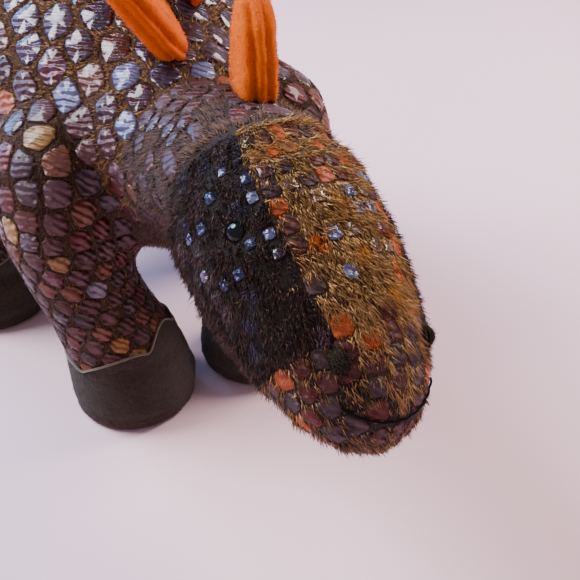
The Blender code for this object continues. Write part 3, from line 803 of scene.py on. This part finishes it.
# For each zone: tufts a square millimetre, length, how far they lie down, and shares of the shades above
PILE = {
    "top": (5.2, 4.2, 0.78, (36, 36, 10, 0, 0, 0, 16, 2)),
    "face": (5.0, 2.9, 0.72, (0, 0, 4, 30, 50, 16, 0, 0)),
    "chin": (4.8, 4.8, 0.60, (2, 6, 14, 34, 20, 6, 8, 10)),
    "neck": (4.6, 2.8, 0.70, (0, 4, 14, 40, 30, 8, 0, 4)),
    "throat": (4.2, 2.8, 0.68, (0, 2, 12, 38, 34, 10, 0, 4)),
    "back": (4.8, 1.7, 0.5, (6, 18, 24, 20, 6, 8, 10, 8)),
    "flank": (4.8, 1.7, 0.5, (8, 20, 24, 16, 4, 8, 12, 8)),
    "belly": (3.0, 2.4, 0.60, (0, 4, 14, 40, 24, 14, 2, 2)),
    "tail": (4.4, 1.6, 0.5, (8, 18, 24, 16, 4, 8, 14, 8)),
    "tail_under": (3.0, 2.2, 0.60, (0, 4, 14, 40, 24, 14, 2, 2)),
    "leg": (4.8, 1.6, 0.5, (2, 10, 30, 28, 12, 8, 4, 6)),
    "foot": (4.4, 1.5, 0.60, (2, 10, 28, 30, 14, 6, 4, 6)),
}
MUZZLE_SHARES = np.cumsum((14, 22, 18, 16, 6, 4, 14, 6)) / 100
MUZZLE_PILE = 52.0 * MM  # the place along the head where the muzzle's shades start
TUFT_WIDTH = 0.2 * MM
MOST_TUFTS = 48000  # for one piece; a body with more is laid as a right and a left one
pattern = bmesh.new()
bmesh.ops.create_cone(pattern, cap_ends=True, segments=3, radius1=1.0, radius2=0.0, depth=1.0)
bmesh.ops.remove_doubles(pattern, verts=pattern.verts, dist=0.001)
tuft_faces, tuft_verts = template_of(pattern)

scale_tree = tree_of(centres)


def cells_under(points):
    """Each point's nearest scale or patch, and how far towards its edge the point lies."""
    nearest = np.array([scale_tree.find(point)[1] for point in points.tolist()])
    apart = points - centres[nearest]
    x, y = (apart * lay[nearest]).sum(axis=1), (apart * cross[nearest]).sum(axis=1)
    return nearest, np.hypot(x, y) / outlines[nearest, corner_at(x, y)]


def tufts(points, facing, ways, lengths, width):
    """Closed three-sided tufts, each from its root along its way."""
    first = unit(np.cross(ways, facing + 0.01))
    second = np.cross(ways, first)
    turn = chance.random(len(points)) * math.tau
    across = first * np.cos(turn)[:, None] + second * np.sin(turn)[:, None]
    other = np.cross(ways, across)
    x, y, z = tuft_verts.T
    return (
        points[:, None]
        + across[:, None] * (x * width)[None, :, None]
        + other[:, None] * (y * width)[None, :, None]
        + ways[:, None] * ((z + 0.5)[None, :] * lengths[:, None])[:, :, None]
    )


# The mouth is one line drawn into the muzzle; the pile is parted along it
MOUTH_RISE = 14.2
MOUTH_BACK = 48.0  # the place along the head that the mouth curves round
MOUTH_STEPS = 16
mouth = []
for step in range(-MOUTH_STEPS, MOUTH_STEPS + 1):
    turn = math.radians(step * 2.3)
    origin = HEAD_STAND @ (Vector((0, MOUTH_BACK, MOUTH_RISE - 3.0 * (1 - math.cos(turn)))) * MM)
    way = HEAD_STAND.to_3x3() @ Vector((math.sin(turn), math.cos(turn), 0))
    hit, out, *_ = skin_tree.ray_cast(origin, way)
    mouth.append(hit + out * (0.5 + 0.15 * math.sin((step + MOUTH_STEPS) * 1.9)) * MM)
mouth_tree = tree_of(mouth)

densest = max(row[0] for row in PILE.values())
first_print = list(PILE_COLOURS).index("print_maroon")
for index, body in enumerate(BODIES):
    points, out = scattered(skins[body].data, densest)
    zone = zones_of(points)
    table = np.array([PILE[name][:3] for name in ZONES])[zone]
    cell, outward = cells_under(points)
    covered = whole[cell] & (outward < 0.97 * shrunk[cell])
    keep = chance.random(len(points)) < table[:, 0] / densest
    cover_share = np.where(matte[cell], 0.6, np.where(kinds[cell] == 2, 0.2, 0.0))
    keep &= ~covered | (chance.random(len(points)) < cover_share)
    keep &= ~in_zones(zone, "foot") | (points[:, 2] > SOCK_COVERED)
    rows = (points, out, zone, table, cell, outward)
    points, out, zone, table, cell, outward = (row[keep] for row in rows)
    combed = lay_of(points, out, zone)
    swirl_and_glint = np.stack([drift(points, 5.0, seed) for seed in (11, 12, 13)], axis=1)
    clump = np.stack([drift(points, 1.5, seed) for seed in (14, 15, 16)], axis=1)
    stray = chance.normal(0, 0.2, points.shape)
    down = table[:, 2:3]
    way = unit(combed * down + out * (1.05 - down) + swirl_and_glint * 0.2 + clump * 0.34 + stray)
    way = unit(way + out * np.maximum(0.16 - (way * out).sum(axis=1, keepdims=True), 0))
    lengths = table[:, 1] * MM * chance.uniform(0.6, 1.15, len(points)) * (1 + 0.22 * drift(points, 6.0, 17))
    lengths *= np.where(matte[cell] & (outward < 0.95), 0.55, 1.0)
    if body == "head":
        from_mouth = np.array([mouth_tree.find(point)[2] for point in points.tolist()]) / MM
        lengths *= np.clip(0.15 + from_mouth * 0.2, 0.25, 1.0)
    shares = np.array([PILE[name][3] for name in ZONES], float)
    shares = np.cumsum(shares / shares.sum(axis=1, keepdims=True), axis=1)[zone]
    if body == "head":
        shares[(in_head_of(points)[:, 1] > MUZZLE_PILE) & ~in_zones(zone, "top")] = MUZZLE_SHARES
    pick = np.clip(chance.random(len(points)) * 0.65 + 0.35 * (drift(points, 4.5, 18) * 0.6 + 0.5), 0, 0.999)
    slots = (pick[:, None] > shares).sum(axis=1)
    inked = (printed[cell] > 0) & (outward < 0.92) & (kinds[cell] == 2) & (chance.random(len(points)) < 0.86)
    slots[inked] = first_print + printed[cell][inked] - 1
    places = tufts(points - out * 0.35 * MM, out, way, lengths, TUFT_WIDTH)
    halves = {"": np.ones(len(points), bool)}
    if len(points) > MOST_TUFTS:
        halves = {"_right": points[:, 0] <= 0, "_left": points[:, 0] > 0}
    for label, mine in halves.items():
        mesh = many(f"{body}_pile{label}", tuft_faces, places[mine], slots[mine])
        carry(add_piece(f"{body}_pile{label}", mesh, *pile_stuffs), body)


# ---- Feet -------------------------------------------------------------------------------------------------
# Each foot is a sock of brown-olive suede cloth whose top is cut in scallops and stitched over the leg's
# cover.  A seam low down joins it to the flat sole, which stands on the floor.

SUEDE_THICK = 0.9 * MM
SCALLOPS = 5
SCALLOP_HIGH = 4.5 * MM
TONGUE_HIGH = 10.0 * MM  # how much higher the sock reaches on its inner front
SOLE_SEAM = 5.2 * MM
SOLE_BAND = 5.0 * MM  # height of the redder nap round the sole

suede, shade, shader = material("foot_suede", Sheen_Weight=0.2, Sheen_Roughness=0.4, Specular_IOR_Level=0.1)
nap = grain(shade, 0.35, detail=3.0, roughness=0.7)
brushed = grain(shade, 9.0, detail=3.0)
height = shade.node("SeparateXYZ", None, {0: shade.node("TexCoord", output="Object")}, output="Z")
band = shade.node("MapRange", {"interpolation_type": "SMOOTHSTEP"}, {
    "Value": height, "From Min": 3.6 * MM, "From Max": 6.4 * MM,
})
upper = blended(shade, brushed, rgb(38, 28, 21), rgb(70, 55, 41))
lower = blended(shade, brushed, rgb(56, 34, 24), rgb(78, 50, 34))
feed(
    shade, shader,
    Base_Color=blended(shade, nap * 0.5, blended(shade, band, lower, upper), rgb(34, 25, 18)),
    Roughness=nap * 0.2 + 0.75,
    Normal=bumped(shade, nap + grain(shade, 1.6) * 0.8, 0.7),
)
piping, shade, shader = material("scallop_edge", Sheen_Weight=0.6, Roughness=0.85, Specular_IOR_Level=0.2)
feed(shade, shader, Base_Color=blended(shade, grain(shade, 1.2), rgb(74, 60, 46), rgb(112, 94, 74)))
NAP_COLOURS = {"dark": (34, 25, 19), "light": (76, 60, 46), "low": (52, 31, 22), "rust": (76, 47, 32)}
suede_naps = [
    plain_material(f"suede_nap_{name}", colour, Roughness=0.9, Sheen_Weight=0.2)
    for name, colour in NAP_COLOURS.items()
]


def scallop(point, middle, start):
    """How high the scalloped edge stands above its cusps, on this side of the foot."""
    turn = math.atan2(point.y - middle.y, point.x - middle.x) + start
    tongue = TONGUE_HIGH * (0.5 + 0.5 * math.cos(turn)) ** 1.5
    return SCALLOP_HIGH * abs(math.cos(turn * SCALLOPS / 2)) ** 0.55 + tongue


def tube(name, points, radius, closed=False, sides=6):
    """A thread or piping along points, made a mesh."""
    curve = bpy.data.curves.new(name, "CURVE")
    curve.dimensions = "3D"
    curve.bevel_depth = radius
    curve.bevel_resolution = max(sides // 2 - 2, 0)
    curve.use_fill_caps = True
    spline = curve.splines.new("POLY")
    spline.points.add(len(points) - 1)
    for spot, point in zip(spline.points, points):
        spot.co = (*point, 1.0)
    spline.use_cyclic_u = closed
    return settled(add_piece(name, curve))


def joined(name, meshes):
    bm = bmesh.new()
    for mesh in meshes:
        bm.from_mesh(mesh)
    bmesh.ops.recalc_face_normals(bm, faces=bm.faces)
    return mesh_of(bm, name)


for hand in ("right", "left"):
    for leg in ("fore", "hind"):
        body = f"{hand}_{leg}leg"
        low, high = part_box(f"{hand}_{leg}_foot_cover")
        middle = (low + high) / 2
        top = high.z - 4.0 * MM
        start = math.radians(50 if hand == "right" else 130)
        sock = bmesh.new()
        sock.from_mesh(skins[body].data)
        for vert in sock.verts:
            vert.co.z -= scallop(vert.co, middle, start)
        bmesh.ops.bisect_plane(
            sock, geom=[*sock.verts, *sock.edges, *sock.faces], dist=0.001 * MM,
            plane_co=(0, 0, top), plane_no=(0, 0, 1), clear_outer=True,
        )
        for vert in sock.verts:
            vert.co.z += scallop(vert.co, middle, start)
        bmesh.ops.recalc_face_normals(sock, faces=sock.faces)
        sock.normal_update()
        for vert in sock.verts:
            crease = math.exp(-(((vert.co.z - SOLE_SEAM) / (1.1 * MM)) ** 2))
            out = SUEDE_THICK - 0.9 * MM * crease
            shift = vert.normal * out
            shift.z = max(shift.z, -vert.co.z)
            vert.co += shift
        rim = [edge for edge in sock.edges if edge.is_boundary]
        loop, edge = [rim[0].verts[0]], rim[0]
        while True:
            after = edge.other_vert(loop[-1])
            if after == loop[0]:
                break
            loop.append(after)
            edge = next(other for other in after.link_edges if other.is_boundary and other != edge)
        lip = [vert.co.copy() for vert in loop]
        for _ in range(4):
            lip = [(lip[i - 1] + lip[i] * 2 + lip[(i + 1) % len(lip)]) / 4 for i in range(len(lip))]
        piece = add_piece(f"{body}_sock", mesh_of(sock, f"{body}_sock"), suede)
        wall = piece.modifiers.new("Wall", "SOLIDIFY")
        wall.thickness = SUEDE_THICK * 1.4
        wall.offset = -1.0
        mesh = settled(piece)
        mesh.shade_smooth()
        piece = add_piece(f"{body}_sock", mesh)
        carry(piece, body)
        points, out = scattered(mesh, 5.0)
        outside = (points[:, 2] > 1.0 * MM) & (((points - np.array(middle)) * out).sum(axis=1) > 0)
        points, out = points[outside], out[outside]
        way = unit(out * 0.7 + chance.normal(0, 0.5, points.shape) + np.array([0.0, 0.0, -0.3]))
        lengths = chance.uniform(0.4, 0.9, len(points)) * MM
        nap_places = tufts(points - out * 0.2 * MM, out, way, lengths, 0.13 * MM)
        picks = (points[:, 2] < SOLE_BAND).astype(int) * 2 + chance.integers(0, 2, len(points))
        nap_mesh = many(f"{body}_sock_nap", tuft_faces, nap_places, picks)
        carry(add_piece(f"{body}_sock_nap", nap_mesh, *suede_naps), body)
        edge_mesh = tube(f"{body}_edge", lip, 0.4 * MM, closed=True, sides=8)
        edge_mesh.shade_smooth()
        edge_piece = add_piece(f"{body}_edge", edge_mesh, piping)
        carry(edge_piece, body)


# ---- Plates -----------------------------------------------------------------------------------------------
# The back plates are stuffed leaves of short orange plush, sewn in two staggered rows.  Two lengthwise
# channels are stitched along each rim, so that it stands up in three soft ridges.

PLATE_GRID = 0.75 * MM
CHANNEL_OUT = 2.0 * MM  # from the plate's middle plane to a channel
CHANNEL_WIDE = 0.75 * MM
CHANNEL_DEEP = 1.6 * MM

plush, shade, shader = material(
    "orange_plush", Sheen_Weight=0.1, Sheen_Roughness=0.4, Sheen_Tint=rgb(255, 170, 90),
    Specular_IOR_Level=0.1,
)
nap = grain(shade, 0.5, detail=3.0, roughness=0.7)
mottle_and_glint = grain(shade, 7.0, detail=3.0)
deep = blended(shade, mottle_and_glint, rgb(220, 90, 2), rgb(244, 126, 12))
feed(
    shade, shader,
    Base_Color=blended(shade, nap * 0.55, deep, rgb(205, 78, 2)),
    Roughness=nap * 0.2 + 0.7,
    Normal=bumped(shade, nap + mottle_and_glint * 0.6, 0.5),
)
fuzz_light = plain_material("orange_fuzz_light", (246, 132, 8), Roughness=0.8)
fuzz_deep = plain_material("orange_fuzz_deep", (226, 93, 0), Roughness=0.8)


def fuzz_over(mesh, per_mm2, length, width):
    """Short nap standing out of a plush piece, as tuft vertices and slots."""
    points, out = scattered(mesh, per_mm2)
    swirl_and_glint = np.stack([drift(points, 3.0, seed) for seed in (21, 22, 23)], axis=1)
    way = unit(out * 0.8 + swirl_and_glint * 0.4 + chance.normal(0, 0.35, points.shape) + np.array([0.0, 0.25, -0.2]))
    lengths = length * MM * chance.uniform(0.6, 1.2, len(points))
    return tufts(points - out * 0.2 * MM, out, way, lengths, width * MM), chance.integers(0, 2, len(points))


members = frame["record"]["behaviour"]["bodies"]
for body in ("neck", "torso", "tail"):
    for name in members[body]:
        if "plate" not in name and "spike" not in name:
            continue
        is_plate = "plate" in name
        grown = regrown(cad_copy([name]), name, PLATE_GRID, 0.5 * MM, smooth=10)
        bm = bmesh.new()
        bm.from_mesh(grown)
        points = np.array([vert.co for vert in bm.verts])
        wrinkles = drift(points, 3.0, 31) * 0.25 * MM
        centre = points.mean(axis=0)
        axes = np.linalg.eigh(np.cov((points - centre).T))[1]
        thin = Vector(axes[:, 0])
        bm.normal_update()
        for vert, wrinkle in zip(bm.verts, wrinkles):
            across = (vert.co - Vector(centre)).dot(thin)
            if is_plate:
                rim = 1 - 0.5 * abs(vert.normal.dot(thin))
                sides = ((across - side * CHANNEL_OUT) / CHANNEL_WIDE for side in (-1, 1))
                channel = sum(math.exp(-(place**2)) for place in sides)
                vert.co -= vert.normal * (channel * CHANNEL_DEEP * rim)
            vert.co += vert.normal * wrinkle
        bmesh.ops.smooth_vert(
            bm, verts=bm.verts, factor=0.35, use_axis_x=True, use_axis_y=True, use_axis_z=True,
        )
        piece = add_piece(f"{name}_plush", mesh_of(bm, f"{name}_plush"), plush)
        places, slots = fuzz_over(piece.data, 2.6, 0.9, 0.11)
        nap_mesh = many(f"{name}_nap", tuft_faces, places, slots)
        nap_piece = add_piece(f"{name}_nap", nap_mesh, fuzz_light, fuzz_deep)
        for made in (piece, nap_piece):
            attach(made, body)
        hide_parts(name)


# ---- Eyes -------------------------------------------------------------------------------------------------
# Safety eyes: polished black plastic domes, half sunk in the pile, with a painted teal reflection in their
# colour.  Each shank goes through the cover into a washer that holds it from inside.

EYE_RADIUS = 2.7 * MM

gloss, shade, shader = material("eye_plastic", Specular_IOR_Level=0.35)
swirl_and_glint = grain(shade, 5.0, detail=1.0)
feed(
    shade, shader,
    # Black, with a painted teal reflection swirled through it
    Base_Color=blended(shade, swirl_and_glint, rgb(2, 3, 4), rgb(3, 22, 26)),
    Roughness=grain(shade, 0.8) * 0.08 + 0.04,
)
washer_stuff, shade, shader = material("washer_plastic", Specular_IOR_Level=0.5)
feed(
    shade, shader,
    Base_Color=blended(shade, grain(shade, 1.5), rgb(196, 194, 188), rgb(222, 220, 214)),
    Roughness=grain(shade, 0.6) * 0.2 + 0.4,
)
for hand, seat in zip(("right", "left"), eye_seats):
    found, out, *_ = skin_tree.find_nearest(seat)
    stand = Matrix.Translation(found) @ out.to_track_quat("Z", "Y").to_matrix().to_4x4()
    dome = bmesh.new()
    bmesh.ops.create_uvsphere(dome, u_segments=40, v_segments=24, radius=EYE_RADIUS)
    for vert in dome.verts:
        vert.co.z *= 0.72 if vert.co.z > 0 else 0.5
        vert.co.z -= 0.4 * MM
    bmesh.ops.transform(dome, matrix=stand, verts=dome.verts)
    piece = add_piece(f"{hand}_eye_dome", mesh_of(dome, f"{hand}_eye_dome"), gloss)
    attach(piece, "head")
    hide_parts(f"{hand}_eye")
    nodes[f"{hand}_eye_washer"].data.materials.clear()
    nodes[f"{hand}_eye_washer"].data.materials.append(washer_stuff)


# ---- Nostril knots and mouth ------------------------------------------------------------------------------
# Each nostril is a knot of dark thread, wound lengthwise over itself with its cut ends left as fuzz.  The
# mouth is one line of the same thread, drawn into the pile round the front of the muzzle.

THREAD = 0.3 * MM
THREADS = 9

thread_stuff, shade, shader = material("knot_thread", Specular_IOR_Level=0.1)
twist = shade.node("TexWave", {"bands_direction": "DIAGONAL"}, {
    "Vector": shade.node("TexCoord", output="Object"), "Scale": 900.0, "Distortion": 3.0,
})
feed(
    shade, shader,
    Base_Color=blended(shade, twist, rgb(22, 18, 12), rgb(54, 46, 31)),
    Roughness=twist * 0.2 + 0.55,
    Normal=bumped(shade, twist, 0.2),
)
knot_fuzzes = [
    plain_material("knot_fuzz_dark", (28, 23, 16), Roughness=0.85),
    plain_material("knot_fuzz_light", (64, 54, 38), Roughness=0.85),
]
KNOT_LAYERS = ((THREADS, 0.9, 1.0), (THREADS - 3, 1.5, 0.86), (3, 1.9, 0.7))  # threads, lift, share of length
for hand in ("right", "left"):
    low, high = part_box(f"{hand}_nostril_knot")
    found, out, *_ = skin_tree.find_nearest((low + high) / 2)
    forward = HEAD_STAND.to_3x3() @ Vector((0, 1, 0))
    forward = (forward - out * forward.dot(out)).normalized()
    sideways = out.cross(forward)
    strands = []
    for count, lift, span in KNOT_LAYERS:
        for strand in range(count):
            place = (strand - (count - 1) / 2) * 0.5 * MM
            room = math.sqrt(max(1 - (place / (2.9 * MM)) ** 2, 0.1))
            points = []
            for step in range(9):
                share = step / 4 - 1
                arch = math.sqrt(max(1 - share**2, 0.0))
                wobble = Vector(chance.uniform(-0.08, 0.08, 3)) * MM
                points.append(
                    found
                    + forward * (share * 3.1 * MM * room * span)
                    + sideways * (place * (0.75 + 0.25 * arch))
                    + out * (arch * lift * room * 1.1 * MM)
                    + wobble
                )
            strands.append(tube(f"{hand}_knot", points, THREAD, sides=6))
    piece = add_piece(f"{hand}_nostril_thread", joined(f"{hand}_nostril_thread", strands), thread_stuff)
    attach(piece, "head")
    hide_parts(f"{hand}_nostril_knot")
    places, slots = fuzz_over(piece.data, 5.0, 1.2, 0.09)
    fuzz = add_piece(f"{hand}_knot_fuzz", many(f"{hand}_knot_fuzz", tuft_faces, places, slots), *knot_fuzzes)
    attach(fuzz, "head")

mouth_stuff, shade, shader = material("mouth_thread", Specular_IOR_Level=0.05, Roughness=0.8)
feed(shade, shader, Base_Color=blended(shade, grain(shade, 0.8), rgb(10, 7, 6), rgb(34, 24, 20)))
piece = add_piece("mouth_thread", tube("mouth_thread", mouth, 0.3 * MM, sides=8), mouth_stuff)
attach(piece, "head")


# ---- Floor, lights and camera -----------------------------------------------------------------------------
# The toy stands on a plain pale floor.  A broad soft lamp and a lower bluish one light it from behind on its
# right, a warm one from its left, and pale light all round.  The camera looks down from its front right.

CAMERA_BACK = Vector((-83.0, -223.0, 205.0)) * MM  # from the middle between the fore feet, on the floor
CAMERA_DOWN = math.radians(35)
CAMERA_ROUND = math.radians(28)
CAMERA_VIEW = math.radians(38)

fore_feet = [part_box(f"{hand}_fore_sole") for hand in ("right", "left")]
stand_at = sum((low + high for low, high in fore_feet), Vector()) / 4
stand_at = Vector((0, stand_at.y - 5.0 * MM, 0))

floor_stuff, shade, shader = material("floor_paper", Specular_IOR_Level=0.3)
cloud = grain(shade, 260.0, detail=2.0)
feed(
    shade, shader,
    Base_Color=blended(shade, cloud, rgb(240, 206, 219), rgb(248, 215, 225)),
    Roughness=grain(shade, 3.0) * 0.1 + 0.55,
)
sheet = bmesh.new()
bmesh.ops.create_grid(sheet, x_segments=8, y_segments=8, size=2.5)
floor = add_piece("floor", mesh_of(sheet, "floor"), floor_stuff)


def add_lamp(name, place, aim, energy, size, colour):
    lamp = bpy.data.lights.new(name, "AREA")
    lamp.shape = "DISK"
    lamp.energy = energy
    lamp.size = size
    lamp.color = colour
    made = bpy.data.objects.new(name, lamp)
    made.location = place
    made.rotation_euler = (Vector(aim) - Vector(place)).to_track_quat("-Z", "Y").to_euler()
    bpy.context.scene.collection.objects.link(made)


add_lamp("window", (-0.46, 0.30, 0.74), (0, -0.08, 0.06), 15.0, 0.46, (0.94, 0.94, 1.0))
add_lamp("low_window", (-0.42, 0.95, 0.48), (-0.03, 0.0, 0.1), 18.0, 0.85, (0.26, 0.5, 1.0))
add_lamp("room", (0.68, 0.0, 0.72), (0.1, -0.12, 0.0), 12.0, 0.4, (1.0, 0.84, 0.79))

world = bpy.data.worlds.new("room_light")
world.use_nodes = True
sky = world.node_tree.nodes["Background"]
sky.inputs["Color"].default_value = (*rgb(222, 206, 218), 1.0)
sky.inputs["Strength"].default_value = 0.56
bpy.context.scene.world = world

camera_data = bpy.data.cameras.new("camera")
camera_data.lens = camera_data.sensor_width / 2 / math.tan(CAMERA_VIEW / 2)
camera_data.clip_start = 5.0 * MM
camera = bpy.data.objects.new("camera", camera_data)
camera.location = stand_at + CAMERA_BACK
look = Vector((
    math.sin(CAMERA_ROUND) * math.cos(CAMERA_DOWN),
    math.cos(CAMERA_ROUND) * math.cos(CAMERA_DOWN),
    -math.sin(CAMERA_DOWN),
))
camera.rotation_euler = look.to_track_quat("-Z", "Y").to_euler()
bpy.context.scene.collection.objects.link(camera)
bpy.context.scene.camera = camera
